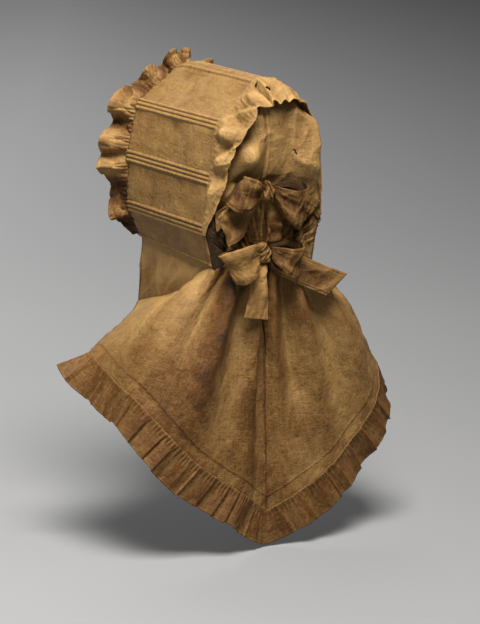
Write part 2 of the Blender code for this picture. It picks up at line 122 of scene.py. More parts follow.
def sharp_section(arc, share):
    """Points of the brim with sharp bends, at a share of the way from its front edge to its back."""
    away = np.minimum(np.abs(arc), BRIM_HALF)
    arcs = [edge.arc for edge in BRIM_EDGES]
    front_x, front_z, near_x, back_z, far_x = (
        np.interp(away, arcs, [edge[i] for edge in BRIM_EDGES]) for i in range(1, 6)
    )
    back_x = np.where(arc > 0, near_x, far_x)
    x = np.sign(arc) * (front_x + (back_x - front_x) * share)
    return np.stack((x, 0 * x, front_z + (back_z - front_z) * share), -1)


def section(arc, y):
    """Points of the brim's smooth middle surface."""
    arc, y = np.broadcast_arrays(np.asarray(arc, float), np.asarray(y, float))
    share = (y - BRIM_FRONT) / -BRIM_FRONT
    reach = BEND_ROUNDING + TOP_ROUNDING * np.exp(-((arc / 26) ** 2))
    reach = np.minimum(reach, BRIM_HALF - np.abs(arc))
    shifts = (-1, -0.5, 0, 0.5, 1)
    point = sum(sharp_section(arc + shift * reach, share) for shift in shifts) / len(shifts)
    near_front = np.maximum(0, 1 - (y - BRIM_FRONT) / DROOP_LENGTH)
    point[..., 2] -= FRONT_DROOP * near_front**2 * np.exp(-((arc / 45) ** 2))
    point[..., 1] = y
    return point


def unit(ways):
    """The same directions, each of length 1."""
    return ways / np.maximum(np.linalg.norm(ways, axis=-1, keepdims=True), 1e-9)


def section_out(arc, y):
    """The direction out of the brim."""
    way = section(arc + 2, y) - section(arc - 2, y)
    return unit(np.stack((-way[..., 2], 0 * way[..., 0], way[..., 0]), -1))


def outward(grid):
    """The direction out of a cloth at each of its points."""
    return unit(np.cross(np.gradient(grid, axis=1), np.gradient(grid, axis=0)))


class Wire:
    """A value in a shader, which Python's own operators work on."""

    def __init__(self, dye, socket):
        self.dye = dye
        self.socket = socket

    def maths(self, operation, *values):
        return self.dye.add("ShaderNodeMath", {"operation": operation}, dict(enumerate(values)))

    def __add__(self, other):
        return self.maths("ADD", self, other)

    def __sub__(self, other):
        return self.maths("SUBTRACT", self, other)

    def __rsub__(self, other):
        return self.maths("SUBTRACT", other, self)

    def __mul__(self, other):
        return self.maths("MULTIPLY", self, other)

    __radd__ = __add__
    __rmul__ = __mul__

    def size(self):
        return self.maths("ABSOLUTE", self)

    def sine(self):
        return self.maths("SINE", self)

    def exponent(self):
        return self.maths("EXPONENT", self)

    def kept(self, low, high):
        """The value, held between two limits."""
        return self.maths("MINIMUM", self.maths("MAXIMUM", self, low), high)


class Dye:
    """One material, built node by node round its shader."""

    def __init__(self, name):
        self.material = bpy.data.materials.new(name)
        self.material.use_nodes = True
        self.tree = self.material.node_tree
        self.shader = self.tree.nodes["Principled BSDF"]

    def add(self, kind, settings, sockets, output=0):
        """A new node: its settings first, then links and values for its sockets."""
        node = self.tree.nodes.new(kind)
        for key, value in settings.items():
            setattr(node, key, value)
        self.feed(node, sockets)
        return Wire(self, node.outputs[output])

    def feed(self, node, sockets):
        for key, value in sockets.items():
            if isinstance(value, Wire):
                self.tree.links.new(value.socket, node.inputs[key])
            else:
                node.inputs[key].default_value = value

    def speckle(self, place, scale, detail):
        """Cloudy noise from 0 to 1."""
        return self.add("ShaderNodeTexNoise", {}, {"Vector": place, "Scale": scale, "Detail": detail})

    def blend(self, share, first, second):
        """The colour at this share of the way from the first to the second."""
        sockets = {"Factor": share, "A": first, "B": second}
        return self.add("ShaderNodeMix", {"data_type": "RGBA"}, sockets, MIXED_COLOUR)


MIXED_COLOUR = 2
OBJECT_PLACE = 3
ATTRIBUTE_VALUE = 2
WEAVE = 78.5
# The near-black colour of painted shade in the deepest hollows.
PAINTED_SHADE = (0.024, 0.0125, 0.0038)


def brown_cotton(name, deep, light, gloss):
    """Worn plain weave: slubs both ways, old stains, rubbed, paler folds, and painted shade in hollows, down
    to a near-black painted shade colour.
    """
    dye = Dye(name)
    threads = dye.add("ShaderNodeUVMap", {"uv_map": "threads"}, {})
    u = dye.add("ShaderNodeSeparateXYZ", {}, {0: threads})
    v = Wire(dye, u.socket.node.outputs["Y"])
    along_u = dye.add("ShaderNodeCombineXYZ", {}, {0: u * 0.8, 1: v * 6, 2: 3.1})
    along_v = dye.add("ShaderNodeCombineXYZ", {}, {0: u * 6, 1: v * 0.8, 2: 7.7})
    weft = dye.speckle(along_u, 1, 1.5)
    warp = dye.speckle(along_v, 1, 1.5)
    stain = dye.speckle(threads, 0.22, 4)
    blotch = dye.speckle(threads, 1.1, 3)
    # Each piece's own tone per point: partly rubbed wear, partly painted light and shade.
    painted_light_and_wear = dye.add("ShaderNodeAttribute", {"attribute_name": "painted_light_and_wear"}, {}, ATTRIBUTE_VALUE)
    slub = (weft + warp - 1) * 1.9
    crushed = (dye.speckle(threads, 0.42, 2.5) - 0.5).size()
    crinkled = (dye.speckle(threads, 1.3, 2.5) - 0.5).size()
    creased = (dye.speckle(threads, 3.6, 2) - 0.5).size()
    # Paler on the bump's crests and darker in its creases: partly rubbed wear, partly painted shade.
    painted_light_and_rub = 0.15 - crushed * 0.5 - crinkled * 0.6 - creased * 0.5
    tone = (stain - 0.5) * 0.45 + (blotch - 0.5) * 0.22 + slub * 0.24 + painted_light_and_rub + painted_light_and_wear * 0.85 + 0.45
    toned_colour = dye.blend(tone.kept(0, 1), (*deep, 1), (*light, 1))
    # Where the tone is lowest the colour runs into near-black painted shade.
    colour = dye.blend((tone * 2.5 + 1).kept(0, 1), (*PAINTED_SHADE, 1), toned_colour)
    weave = (u * WEAVE).sine() * (v * WEAVE).sine()
    height = weave * 0.05 + slub * 0.12 - crushed * 2.1 - crinkled * 1.9 - creased * 0.8
    bump = dye.add("ShaderNodeBump", {}, {"Height": height, "Strength": 1, "Distance": 0.001})
    dye.feed(
        dye.shader,
        {
            "Base Color": colour,
            "Roughness": (0.64 - slub * 0.12 - painted_light_and_wear * 0.08).kept(0.35, 0.95),
            "Normal": bump,
            "Specular IOR Level": gloss,
        },
    )
    return dye.material


BROWN_COTTON = brown_cotton("brown_cotton", (0.084, 0.031, 0.0030), (0.300, 0.177, 0.058), 0.24)


def grid_faces(grid):
    """The corners of each face of a grid of points."""
    corner = np.arange(grid.shape[0] * grid.shape[1]).reshape(grid.shape[:2])
    faces = np.stack((corner[:-1, :-1], corner[:-1, 1:], corner[1:, 1:], corner[1:, :-1]), -1)
    return faces.reshape(-1, 4)


def cut(name, points, faces, threads, painted_light_and_wear, dye):
    """One cloth piece in metres, with the place of its threads, its rubbed folds and painted light and
    shade, and its cotton.
    """
    mesh = bpy.data.meshes.new(name)
    mesh.from_pydata(((points + SEAT) / 1000).reshape(-1, 3).tolist(), [], faces)
    mesh.polygons.foreach_set("use_smooth", np.ones(len(faces), bool))
    corners = np.concatenate(faces)
    places = threads.reshape(-1, 2)[corners] / 10
    mesh.uv_layers.new(name="threads").data.foreach_set("uv", places.ravel())
    # The tone per point: partly rubbed wear, partly painted light and shade.
    painted_light_and_rub = np.clip(painted_light_and_wear, -1, 1).ravel().astype(np.float32)
    mesh.attributes.new("painted_light_and_wear", "FLOAT", "POINT").data.foreach_set("value", painted_light_and_rub)
    mesh.materials.append(dye)
    made = bpy.data.objects.new(f"{name}_cloth", mesh)
    bpy.context.scene.collection.objects.link(made)
    return made


def sew(name, grid, threads, painted_light_and_wear, wall=CLOTH, dye=BROWN_COTTON, torn=None):
    """Makes one cloth from a grid of points at the middle of its wall, with torn places left out."""
    faces = grid_faces(grid)
    if torn is not None:
        faces = faces[~torn[:-1, :-1].ravel()]
    made = cut(name, grid, faces.tolist(), threads, painted_light_and_wear, dye)
    thick = made.modifiers.new("wall", "SOLIDIFY")
    thick.thickness = wall / 1000
    thick.offset = 0
    return made


def wear(piece):
    """Puts a piece on the bonnet, in place of the plain solid of the same name."""
    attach(piece, "root")
    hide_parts(piece.name.removesuffix("_cloth"))


def fasten(piece):
    """Puts a cloth on the bonnet."""
    wear(piece)


thread = Dye("thread")
place = thread.add("ShaderNodeTexCoord", {}, {}, OBJECT_PLACE)
fuzz = thread.speckle(place, 900, 2)
rub = thread.speckle(place, 40, 2)
pale = thread.blend((fuzz * 0.6 + rub * 0.6 - 0.1).kept(0, 1), (0.1, 0.045, 0.012, 1), (0.33, 0.2, 0.085, 1))
thread.feed(thread.shader, {"Base Color": pale, "Roughness": (0.9 - fuzz * 0.4).kept(0, 1)})

stitch_tree = bpy.data.node_groups.new("stitches", "GeometryNodeTree")
stitch_inputs = {}
stitch_kinds = {"Cloth line": "Geometry", "Pitch": "Float", "Length": "Float", "Thickness": "Float"}
for label, kind in stitch_kinds.items():
    made = stitch_tree.interface.new_socket(label, in_out="INPUT", socket_type="NodeSocket" + kind)
    stitch_inputs[label] = made.identifier
stitch_tree.interface.new_socket("Stitches", in_out="OUTPUT", socket_type="NodeSocketGeometry")


def tie_in(kind, settings, sockets):
    """One node of the stitches' tree: settings first, then links and values."""
    node = stitch_tree.nodes.new(kind)
    for key, value in settings.items():
        setattr(node, key, value)
    for key, value in sockets.items():
        if isinstance(value, bpy.types.NodeSocket):
            stitch_tree.links.new(value, node.inputs[key])
        else:
            node.inputs[key].default_value = value
    return node.outputs


given = tie_in("NodeGroupInput", {}, {})
line = tie_in("GeometryNodeMeshToCurve", {}, {"Mesh": given["Cloth line"]})
spots = {"Curve": line["Curve"], "Length": given["Pitch"]}
spots = tie_in("GeometryNodeCurveToPoints", {"mode": "LENGTH"}, spots)
bar = {"Vertices": 5, "Radius": given["Thickness"], "Depth": given["Length"]}
bar = tie_in("GeometryNodeMeshCylinder", {}, bar)
uneven = {"Min": (0.8, 0.8, 0.75), "Max": (1.2, 1.2, 1.1), "Seed": 5}
uneven = tie_in("FunctionNodeRandomValue", {"data_type": "FLOAT_VECTOR"}, uneven)
sewn = {"Points": spots["Points"], "Rotation": spots["Rotation"]}
sewn |= {"Instance": bar["Mesh"], "Scale": uneven["Value"]}
sewn = tie_in("GeometryNodeInstanceOnPoints", {}, sewn)
sewn = tie_in("GeometryNodeRealizeInstances", {}, {"Geometry": sewn["Instances"]})
sewn = tie_in("GeometryNodeSetMaterial", {}, {"Geometry": sewn["Geometry"], "Material": thread.material})
tie_in("NodeGroupOutput", {}, {"Stitches": sewn["Geometry"]})


STITCH_SIZES = {"Pitch": 3.4, "Length": 2.2, "Thickness": 0.28}
STITCH_LIFT = 0.15


def stitch(name, lines):
    """Running stitches along lines that lie on a cloth, as one object of thread."""
    places, edges = [], []
    for line in lines:
        edges += [(len(places) + i, len(places) + i + 1) for i in range(len(line) - 1)]
        places += ((line + SEAT) / 1000).tolist()
    mesh = bpy.data.meshes.new(name)
    mesh.from_pydata(places, edges, [])
    guide = bpy.data.objects.new(name + "_guide", mesh)
    bpy.context.scene.collection.objects.link(guide)
    row = guide.modifiers.new("stitches", "NODES")
    row.node_group = stitch_tree
    for label, value in STITCH_SIZES.items():
        row[stitch_inputs[label]] = value / 1000
    seen = guide.evaluated_get(bpy.context.evaluated_depsgraph_get())
    made = bpy.data.objects.new(name, bpy.data.meshes.new_from_object(seen))
    bpy.context.scene.collection.objects.link(made)
    bpy.data.objects.remove(guide)
    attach(made, "root")


def on_cloth(grid, rows, off, way):
    """Every second point of a cloth's grid along these rows, lifted off the cloth this way."""
    return [grid[row][::2] + way[row][::2] * off for row in rows]


def cord_relief(arc):
    """How far the cords lift the cloth, and how near the closest group of cords is."""
    high, away = 0, 99
    for cords in CORD_GROUPS:
        half = (cords.count - 1) / 2 * cords.pitch
        for i in range(cords.count):
            off = np.abs(np.abs(arc) - (cords.arc - half + i * cords.pitch)) / CORD_HALF
            high = np.maximum(high, cords.height * (0.5 + 0.5 * np.cos(math.pi * np.minimum(1, off))))
        away = np.minimum(away, np.abs(np.abs(arc) - cords.arc) - half)
    return high, np.maximum(0, away)


half_stations = set(np.arange(0, BRIM_HALF + 0.1, 3.2))
for cords in CORD_GROUPS:
    width = (cords.count - 1) / 2 * cords.pitch + CORD_HALF + 1
    half_stations |= set(np.arange(cords.arc - width, cords.arc + width, 0.7))
half_stations = sorted(s for s in half_stations if 0 < s < BRIM_HALF)
stations = np.array([-BRIM_HALF, *(-s for s in reversed(half_stations)), 0, *half_stations, BRIM_HALF])
arc, y = np.meshgrid(stations, np.linspace(BRIM_FRONT, 0, 62))
high, away = cord_relief(arc)
puckers = 0.34 * np.sin(2 * math.pi * y / 4.7 + 2.5 * swell(arc / 14, y / 30, 1))
puckers = puckers * np.exp(-away / 4) * (away > 0)
rumple = 1.1 * swell(arc / 52, y / 70, 2) + 0.45 * swell(arc / 17, y / 23, 3)
rumple += 0.3 * crease(arc / 30 + y / 90, y / 36, 4)
from_front = y - BRIM_FRONT
gathers = 0.8 * np.sin(2 * math.pi * arc / 5.1 + 3 * swell(arc / 20, y / 40, 5)) * np.exp(-from_front / 8)
rumple *= np.minimum(1, away / 6)
relief = high + puckers + rumple + gathers
threads = np.stack((arc, y), -1)
# Paler on the raised cords, puckers and gathers and darker between them: partly rubbed wear, partly painted
# light and shade.
painted_light_and_wear = 0.35 * (high / 1.9 - 0.35) * (away <= 3) + 0.5 * puckers + 0.25 * gathers + 0.12 * rumple
brim = sew("brim", section(arc, y) + section_out(arc, y) * relief[..., None], threads, painted_light_and_wear, BRIM_WALL)
fasten(brim)
cord_lines = []
for cords in CORD_GROUPS:
    first = cords.arc - (cords.count - 1) / 2 * cords.pitch - CORD_HALF
    for side in (-1, 1):
        for i in range(cords.count + 1):
            seam_arc = np.full(60, side * min(first + i * cords.pitch, BRIM_HALF - 0.5))
            seam_y = np.linspace(BRIM_FRONT + 2, -1, 60)
            lift = section_out(seam_arc, seam_y) * (BRIM_WALL / 2 + STITCH_LIFT)
            cord_lines.append(section(seam_arc, seam_y) + lift)
stitch("brim_stitches", cord_lines)


# The front ruffle is a frill of single cotton, gathered on a thread and sewn to the brim's front edge. It
# stands out in uneven, crushed lobes.

Lobe = namedtuple("Lobe", "arc out forward")
FRONT_LOBES = (
    Lobe(0, 16, 16),
    Lobe(7, 22, 12),
    Lobe(14, 20, 12),
    Lobe(21, 8, 22),
    Lobe(29, 10, 24),
    Lobe(38, 20, 16),
    Lobe(46, 24, 13),
    Lobe(54, 22, 15),
    Lobe(62, 12, 26),
    Lobe(71, 11, 28),
    Lobe(80, 16, 24),
    Lobe(90, 26, 18),
    Lobe(99, 35, 13),
    Lobe(107, 36, 14),
    Lobe(115, 24, 26),
    Lobe(122, 12, 32),
    Lobe(130, 18, 28),
    Lobe(139, 32, 20),
    Lobe(148, 39, 15),
    Lobe(157, 37, 18),
    Lobe(165, 25, 28),
    Lobe(172, 33, 22),
    Lobe(181, 39, 17),
    Lobe(190, 29, 26),
    Lobe(198, 14, 34),
    Lobe(208, 8, 35),
    Lobe(219, 8, 35),
    Lobe(228, 12, 31),
    Lobe(236, 23, 20),
    Lobe(243, 25, 16),
    Lobe(251, 13, 27),
    Lobe(263, 6, 29),
    Lobe(275, 3, 24),
    Lobe(281, 2, 18),
)
FRONT_FRILL = 36
FRONT_GATHER = 1.5

arc, share = np.meshgrid(np.linspace(-BRIM_HALF, BRIM_HALF, 720), np.linspace(0, 1, 36))
out, forward = np.moveaxis(read(FRONT_LOBES, "arc", "out forward", np.abs(arc)), -1, 0)
away = section_out(arc, BRIM_FRONT)
billow = np.clip((out - 9) / 24, 0, 1) ** 0.7
puff = np.sin(math.pi * share**0.85) * (9 * billow - 4)
point = section(arc, BRIM_FRONT) + away * (out * share**1.15 - 2 * np.sin(math.pi * share))[..., None]
point[..., 1] -= 0.2 + forward * share - puff * share**0.4
gathers = np.sin(2 * math.pi * arc / 5.1 + 3 * swell(arc / 20, 0 * arc, 5)) * 1.2 * (1 - share) ** 1.6
pleats = crease(arc / 17 + 0.3 * share, share * 0.9, 6) * 4.2 * np.sin(math.pi * share**0.8) ** 0.7
crushed = swell(arc / 11, share * 3, 7) * 1.1 * share
crushed += crease(arc / 13, share * 2.2 + arc / 40, 8) * 2.6 * share
crushed += 0.6 * crease(arc / 6.5, share * 4 + arc / 50, 46) * share
relief = gathers + pleats + crushed
relief *= np.minimum(1, 0.25 + share * 4)
point += outward(point) * relief[..., None]
threads = np.stack((arc * FRONT_GATHER, share * FRONT_FRILL), -1)
# Painted shade where the small lobes sink between the big ones, and tone that follows the folds, partly
# rubbed wear and partly painted light and shade; a paler rubbed edge, and darker towards both lower ends.
painted_light_and_wear = 0.11 * relief - 0.75 * (1 - billow) + 0.2 * (share > 0.94)
painted_light_and_wear -= 0.3 * np.clip((np.abs(arc) - 195) / 20, 0, 1)
front_ruffle = sew("front_ruffle", point, threads, painted_light_and_wear)
fasten(front_ruffle)


# The rear flounce is the brim's free back edge: the cloth runs on past the last row of stitches, loose
# and dented, over the top of the crown, and is turned under in a narrow hem.

Flounce = namedtuple("Flounce", "arc x y z")
FLOUNCE_EDGE = (
    Flounce(-238, -87, 4.5, -205),
    Flounce(-200, -88.2, 6, -168),
    Flounce(-165, -86.8, 7, -134),
    Flounce(-135, -80.8, 8, -104),
    Flounce(-100, -73.6, 10, -69),
    Flounce(-70, -56, 20, -47),
    Flounce(-40, -35, 43, -33),
    Flounce(0, -3, 48, -30),
    Flounce(32, 25, 46, -37),
    Flounce(75, 46, 45, -58),
    Flounce(105, 59, 40, -82),
    Flounce(135, 67, 36, -108),
    Flounce(165, 73, 30, -136),
    Flounce(200, 81, 20, -168),
    Flounce(238, 88, 4.5, -204),
)
FLOUNCE_END = 238
Dent = namedtuple("Dent", "arc share wide push")
FLOUNCE_DENTS = (
    Dent(5, 0.7, 4, -8),
    Dent(12, 0.6, 4, 8),
    Dent(18, 0.9, 3.5, -5),
    Dent(24, 0.6, 8, -8),
    Dent(-4, 0.55, 4, 6),
    Dent(-11, 0.8, 4, -6),
    Dent(36, 0.8, 8, 7),
    Dent(78, 0.55, 12, -8),
    Dent(98, 0.5, 9, 7),
    Dent(116, 0.5, 9, -8),
    Dent(136, 0.6, 10, 6),
    Dent(157, 0.6, 10, -6),
    Dent(182, 0.5, 12, 5),
    Dent(-20, 0.7, 12, 3),
    Dent(-52, 0.6, 14, -3),
    Dent(-90, 0.5, 14, 2),
)
FLOUNCE_HEM = 0.83
Tear = namedtuple("Tear", "arc share wide")
FLOUNCE_TEARS = (
    Tear(15, 0.3, 3),
    Tear(17, 0.34, 1.6),
    Tear(9, 0.72, 2.6),
    Tear(7, 0.66, 1.8),
    Tear(-2, 0.1, 1.6),
)

arc, share = np.meshgrid(np.linspace(-FLOUNCE_END, FLOUNCE_END, 466), np.linspace(0, 1, 45))
out = section_out(arc, 0)
start = section(arc, -3) + out * 1.5
edge = read(FLOUNCE_EDGE, "arc", "x y z", arc)
uneven = 3.2 * swell(arc / 27, 0 * arc, 15) * np.minimum(1, edge[..., 1] / 25)
edge = edge + unit(edge - start) * uneven[..., None]
length = np.linalg.norm(edge - start, axis=-1)
rise = (9 - 4 * np.minimum(1, np.abs(arc) / 110)) * np.sin(math.pi * share) * np.minimum(1, length / 45)
for dent in FLOUNCE_DENTS:
    near = np.exp(-(((arc - dent.arc) / dent.wide) ** 2) - ((share - dent.share) / 0.35) ** 2)
    rise = rise + dent.push * near * np.clip((share - 0.15) * 3, 0, 1)
crushed = 2.6 * crease(arc / 37 + share, share * 1.2 + arc / 60, 9) + 0.8 * crease(arc / 16, share * 2, 10)
crushed += 0.5 * crease(arc / 9 + share * 2, share * 4 - arc / 30, 47)
crushed += 1.2 * np.sin(2 * math.pi * arc / 6.5 + 3 * swell(arc / 20, share, 16)) * np.exp(-share * 7)
turned = 0.9 * np.clip((share - FLOUNCE_HEM) / 0.03, 0, 1)
crushed *= np.minimum(1, length / 30) * np.minimum(1, share * 3)
point = start + (edge - start) * share[..., None] + out * (rise + crushed + turned)[..., None]
threads = np.stack((arc, share * length), -1)
# The whole flounce is painted a step paler, as painted light on its lit top; tone that follows the crushing,
# partly rubbed wear and partly painted light and shade; a paler rubbed edge and a dark line where the hem
# turns.
painted_light_and_wear = 0.12 * crushed + 0.22 + 0.2 * (share > 0.96)
painted_light_and_wear -= 0.4 * np.exp(-(((share - FLOUNCE_HEM) / 0.015) ** 2))
torn = np.zeros(arc.shape, bool)
for tear in FLOUNCE_TEARS:
    torn |= ((arc - tear.arc) / tear.wide) ** 2 + ((share - tear.share) * 40 / 1.5) ** 2 < 1
rear_flounce = sew("rear_flounce", point, threads, painted_light_and_wear, torn=torn)
fasten(rear_flounce)
stitch("flounce_stitches", on_cloth(point, (2, 37), CLOTH / 2 + STITCH_LIFT, out))


# The crown is the soft back of the hood, two halves joined by a seam down the middle. Its rim is sewn
# inside the brim's back edge, and the two ties draw it in.

CROWN_TOP = 6
CROWN_END = 277.8
Depth = namedtuple("Depth", "z back")
CROWN_DEPTH = (
    Depth(-248, 20),
    Depth(-232, 20),
    Depth(-200, 22),
    Depth(-172, 21),
    Depth(-148, 18),
    Depth(-124, 25),
    Depth(-95, 30),
    Depth(-62, 34),
    Depth(-42, 35),
    Depth(-28, 27),
    Depth(-14, 13),
    Depth(0, 3),
)
Puff = namedtuple("Puff", "x z wide high push")
CROWN_PUFFS = (
    Puff(42, -100, 14, 19, 19),
    Puff(47, -62, 15, 22, -15),
    Puff(46, -134, 15, 10, -9),
    Puff(-62, -112, 26, 60, 19),
)
FAR_SQUARENESS = 0.42
NEAR_SQUARENESS = 0.78
CROWN_INSET = 4
CROWN_MIDDLE_Z = -130
CROWN_DIP = 14
TIE_MIDDLE_Z = -148
TIE_END_Z = -186
TIE_END_X = 79
Seam = namedtuple("Seam", "z x")
CROWN_SEAM = (
    Seam(-250, 14),
    Seam(-150, 10),
    Seam(-110, 9),
    Seam(-80, 10),
    Seam(-40, 15),
    Seam(0, 12),
)
Hole = namedtuple("Hole", "x z wide high")
CROWN_HOLES = (
    Hole(-28.6, -97.6, 1.5, 1.6),
    Hole(-29.6, -99.6, 1.3, 2.2),
    Hole(-31, -101.4, 1.9, 1.3),
)
CROWN_WALL = 1.6


def tie_z(x):
    """How high the upper tie crosses the crown."""
    return TIE_MIDDLE_Z + (TIE_END_Z - TIE_MIDDLE_Z) * np.minimum(1, np.abs(x) / TIE_END_X) ** 1.4


def smooth_crown(arc, turn):
    """The crown before its wrinkles: heights round the rim, and a turn from -1, right, to 1, left."""
    side = np.where(turn > 0, 1, -1)
    rim = section(side * arc, 0) - section_out(side * arc, 0) * 1.1
    angle = turn * math.pi / 2
    square = np.where(turn > 0, NEAR_SQUARENESS, FAR_SQUARENESS)
    x = rim[..., 0] * np.abs(np.sin(angle)) ** square
    z = rim[..., 2]
    back = read(CROWN_DEPTH, "z", "back", z)[..., 0] * np.maximum(0, np.cos(angle)) ** square
    inside = np.cos(angle) ** 2
    for puff in CROWN_PUFFS:
        near = ((x - puff.x) / puff.wide) ** 2 + ((z - puff.z) / puff.high) ** 2
        back = back + puff.push * np.exp(-near) * np.minimum(1, 2 * inside)
    back = back - 3 * np.exp(-(((z - tie_z(x)) / 20) ** 2)) * np.minimum(1, 3 * inside)
    gathered = np.clip((-172 - z) / 40, 0, 1) * np.minimum(1, 2 * inside)
    back = back + 3.2 * gathered * np.sin(2 * math.pi * x / 17)
    off = np.abs(x / rim[..., 0])
    dip = CROWN_DIP * off**5 * np.clip((-225 - z) / 20, 0, 1)
    inward = unit(np.stack((-x, 0 * x, CROWN_MIDDLE_Z - z), -1))
    pull = CROWN_INSET * np.minimum(1, back / 8) * np.where(turn > 0, 1, 0.8)
    return np.stack((x, SEAM + back, z - dip), -1) + inward * pull[..., None]


arc, turn = np.meshgrid(np.linspace(CROWN_TOP, CROWN_END, 165), np.linspace(-1, 1, 213), indexing="ij")
point = smooth_crown(arc, turn)
x, z = point[..., 0], point[..., 2]
inside = np.minimum(1, 3 * np.cos(turn * math.pi / 2) ** 2)
seam_x = read(CROWN_SEAM, "z", "x", z)[..., 0]
seam = 1.5 * np.exp(-(((x - seam_x) / 1.2) ** 2)) - 1.8 * np.exp(-(((x - seam_x - 3) / 2) ** 2))
wrinkles = 2.3 * crease(x / 46 + z / 80, z / 80 - x / 90, 11) + 0.6 * swell(x / 16, z / 20, 12)
wrinkles += 0.9 * crease(x / 20 - z / 60, z / 30 + x / 30, 13)
wrinkles += 1.4 * np.exp(-(((x - 31) / 1.4) ** 2) - ((z + 125) / 20) ** 4)
drawn = np.exp(-(((z + 200) / 34) ** 2))
folds = drawn * (4.5 * crease((x - 12) / (5 + np.maximum(0, z + 226) / 9), z / 110, 14, 0.8) - 1.8)
relief = (seam + wrinkles + folds) * inside * np.clip((z + 249) / 12, 0.15, 1)
point += outward(point) * relief[..., None]
threads = np.stack((x * 1.15, arc), -1)
torn = np.zeros(arc.shape, bool)
for hole in CROWN_HOLES:
    torn |= ((x - hole.x) / hole.wide) ** 2 + ((z - hole.z) / hole.high) ** 2 < 1
# Tone that follows the wrinkles, partly rubbed wear and partly painted light and shade, with a paler line
# along the seam and a step paler overall. Painted shade in the folds drawn in by the lower tie, a painted
# shadow of the flounce down the near side, deeper low down, and a patch of painted shade in the hollow above
# the lower bow.
painted_light_and_wear = 0.1 * relief + 0.3 * np.exp(-(((x - seam_x) / 1.4) ** 2)) - 0.3 * drawn
painted_light_and_wear += 0.15 - 0.8 * np.clip((turn - 0.48) / 0.2, 0, 1) * (1 + 0.6 * np.clip((-150 - z) / 40, 0, 1))
painted_light_and_wear -= 0.25 * drawn + 0.6 * np.exp(-(((z + 205) / 24) ** 2) - ((x - 27) / 13) ** 2)
crown = sew("crown", point, threads, painted_light_and_wear, torn=torn)
fasten(crown)
CROWN_SURFACE = BVHTree.FromPolygons(point.reshape(-1, 3).tolist(), grid_faces(point).tolist())


# Two neck pieces hang inside the brim's lower edges and carry the cape. Each is one layer of cotton with
# a narrow hem at its front.

Neck = namedtuple("Neck", "y x z")
NECK_LINE = (
    Neck(-193, 72, -333.4),
    Neck(-150, 73, -320.4),
    Neck(-95, 73.5, -303.4),
    Neck(-60, 74, -289.4),
    Neck(-25, 73.5, -268.4),
    Neck(-10, 72.3, -256),
    Neck(-1, 71.5, -252.4),
)
NECK_TOP_ARC = 268
NECK_WALL = 1.6
NECK_INSIDE = (BRIM_WALL + NECK_WALL) / 2 + 1.5 * SEAM
NECK_CUT = (200, 90)
NECK_HEM_Y = -189


def hung(stops, share):
    """Smooth falls through four stops each, read at a share of the way down."""
    stack = np.stack((2 * stops[0] - stops[1], *stops, 2 * stops[3] - stops[2]))
    at = 3 * share
    start = np.minimum(at.astype(int), 2)
    places = np.indices(at.shape)
    return between(*(stack[(start + i, *places)] for i in range(4)), (at - start)[..., None])


for name, side in (("neck_piece_left", 1), ("neck_piece_right", -1)):
    y, share = np.meshgrid(np.linspace(-193, 2.5, 80), np.linspace(0, 1, 50))
    stops = []
    for arc, lower in ((NECK_TOP_ARC, 0), (BRIM_HALF, 3)):
        stop = section(side * arc, y) - section_out(side * (arc - 3), y) * NECK_INSIDE
        stops.append(stop - (0, 0, lower))
    line = read(NECK_LINE, "y", "x z", y)
    foot = np.stack((side * line[..., 0], y, line[..., 1]), -1)
    stops += [(stops[1] + foot) / 2, foot]
    point = hung(stops, share)
    free = np.clip((share - 0.35) / 0.3, 0, 1) * np.clip((1 - share) / 0.08, 0, 1)
    point[..., 0] += side * 1.5 * np.sin(math.pi * np.maximum(0, share - 0.4) / 0.6) * np.sin(y / 21)
    relief = 2 * crease(y / 50 + share * 1.5, share * 1.2 - y / 120, 20 + side)
    relief = free * (relief + 0.8 * swell(y / 17, share * 4, 22))
    point[..., 0] += side * relief
    threads = np.stack((y, share * NECK_CUT[1]), -1)
    # Painted light and shade: paler above and darker below, a step paler overall, with tone that follows the
    # folds; darker along the front hem.
    painted_light_and_wear = 0.12 * relief + 0.22 + 0.35 * np.clip((point[..., 2] + 285) / 15, -1, 1)
    painted_light_and_wear -= 0.5 * (y < NECK_HEM_Y)
    neck_piece = sew(name, point, threads, painted_light_and_wear)
    fasten(neck_piece)


# The cape covers the neck and shoulders. It is two gores of cotton joined down the middle of the back,
# gathered into the tie at the neck and cut to two straight hems that meet in a point.

Fall = namedtuple(
    "Fall",
    "neck_x neck_y neck_z fold_x fold_y fold_z belly_x belly_y belly_z hem_x hem_y hem_z",
)
CAPE_FALLS = (
    Fall(0, 20, -246, 0, 22, -264, 4, 18, -420, 8, 24, -582),
    Fall(12, 20, -246, 15, 24, -266, 26, 27, -412, 40, 37, -558),
    Fall(24, 19, -246, 32, 27, -268, 54, 35, -398, 74, 41, -535),
    Fall(38, 18, -247, 50, 25, -268, 88, 37, -380, 122, 34, -499),
    Fall(53, 15, -248, 67, 17, -265, 116, 33, -355, 163, 27, -454),
    Fall(69, 5.2, -252.6, 84, 4, -264, 138, 12, -328, 189, -6, -414),
    Fall(76, -26, -265.5, 99, -24, -279, 148, -26, -318, 193, -44, -400),
    Fall(75.4, -90, -298, 121, -52, -297, 160, -62, -330, 193, -84, -386),
    Fall(74.3, -192, -329, 112, -168, -345, 152, -146, -358, 190, -124, -373),
)
Fold = namedtuple("Fold", "column spread high top_share")
